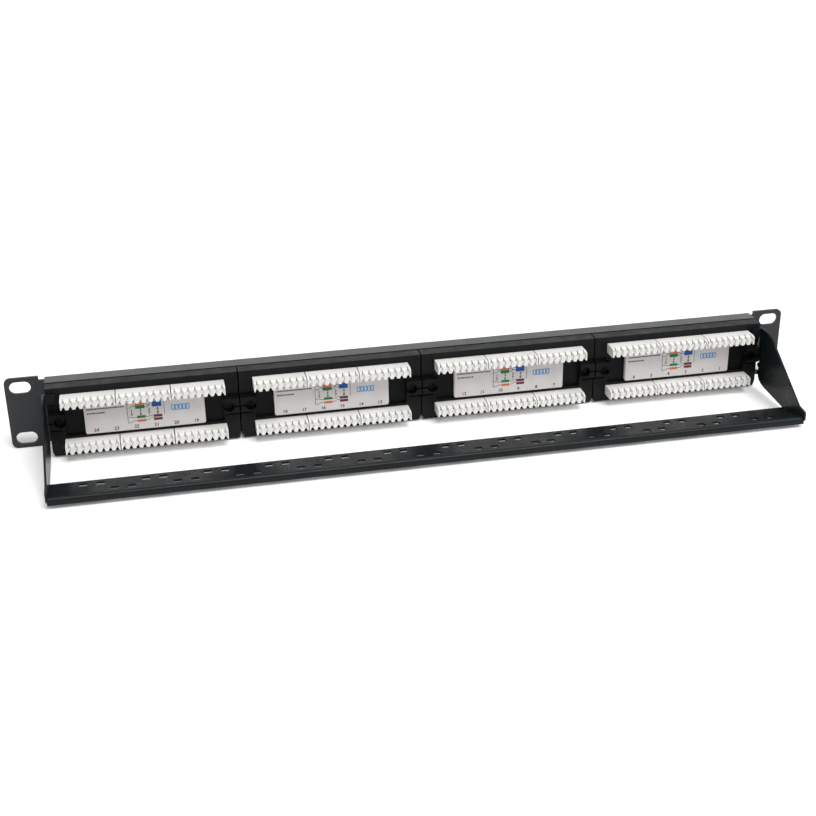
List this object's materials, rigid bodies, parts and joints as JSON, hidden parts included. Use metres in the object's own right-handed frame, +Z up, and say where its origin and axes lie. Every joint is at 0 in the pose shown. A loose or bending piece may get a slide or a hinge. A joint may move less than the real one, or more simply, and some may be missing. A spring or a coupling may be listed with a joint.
{
  "type": "patch panel",
  "caption": "Rack-mount network patch panel, one unit high: plug sockets in a folded steel panel, punch-down terminal rows behind them and a slotted cable support bar on two side arms.",
  "frame": {"origin": "middle of the footprint, on the surface that the panel stands on", "axes": "+X along the panel, towards port 24; -Y out of the port side; +Y towards the wiring side and the cable bar; +Z up"},
  "size_m": [0.4826, 0.085, 0.044],
  "materials": {
    "powder_coat": "fine black powder coat on steel sheet, satin",
    "black_plastic": "moulded black plastic, fine texture",
    "jack_plastic": "moulded black plastic",
    "circuit_board": "green solder mask on glass fibre board",
    "label_plate": "light grey plastic with a printed wiring label",
    "white_plastic": "white plastic writing strip",
    "terminal_plastic": "white flame-retardant plastic, soft gloss",
    "black_screw": "black zinc-plated steel"
  },
  "bodies": {
    "panel": {"front_panel": "powder_coat", "module_cover_1": "black_plastic", "circuit_board_1": "circuit_board", "jack_block_1": "jack_plastic", "label_plate_1": "label_plate", "designation_strip_1": "white_plastic", "module_cover_2": "black_plastic", "circuit_board_2": "circuit_board", "jack_block_2": "jack_plastic", "label_plate_2": "label_plate", "designation_strip_2": "white_plastic", "module_cover_3": "black_plastic", "circuit_board_3": "circuit_board", "jack_block_3": "jack_plastic", "label_plate_3": "label_plate", "designation_strip_3": "white_plastic", "module_cover_4": "black_plastic", "circuit_board_4": "circuit_board", "jack_block_4": "jack_plastic", "label_plate_4": "label_plate", "designation_strip_4": "white_plastic", "cover_screw_1": "black_screw", "cover_screw_2": "black_screw", "cover_screw_3": "black_screw", "cover_screw_4": "black_screw", "cover_screw_5": "black_screw", "cover_screw_6": "black_screw", "cover_screw_7": "black_screw", "cover_screw_8": "black_screw", "terminal_block_1": "terminal_plastic", "terminal_block_2": "terminal_plastic", "terminal_block_3": "terminal_plastic", "terminal_block_4": "terminal_plastic", "terminal_block_5": "terminal_plastic", "terminal_block_6": "terminal_plastic", "terminal_block_7": "terminal_plastic", "terminal_block_8": "terminal_plastic", "terminal_block_9": "terminal_plastic", "terminal_block_10": "terminal_plastic", "terminal_block_11": "terminal_plastic", "terminal_block_12": "terminal_plastic", "terminal_block_13": "terminal_plastic", "terminal_block_14": "terminal_plastic", "terminal_block_15": "terminal_plastic", "terminal_block_16": "terminal_plastic", "terminal_block_17": "terminal_plastic", "terminal_block_18": "terminal_plastic", "terminal_block_19": "terminal_plastic", "terminal_block_20": "terminal_plastic", "terminal_block_21": "terminal_plastic", "terminal_block_22": "terminal_plastic", "terminal_block_23": "terminal_plastic", "terminal_block_24": "terminal_plastic"},
    "cable_bar": {"cable_bar": "powder_coat"}
  },
  "joints": [
    {"name": "cable_bar_pull", "type": "slide", "parent": "panel", "child": "cable_bar", "axis": [0, 1, 0], "range_m": [0, 0.04]}
  ]
}
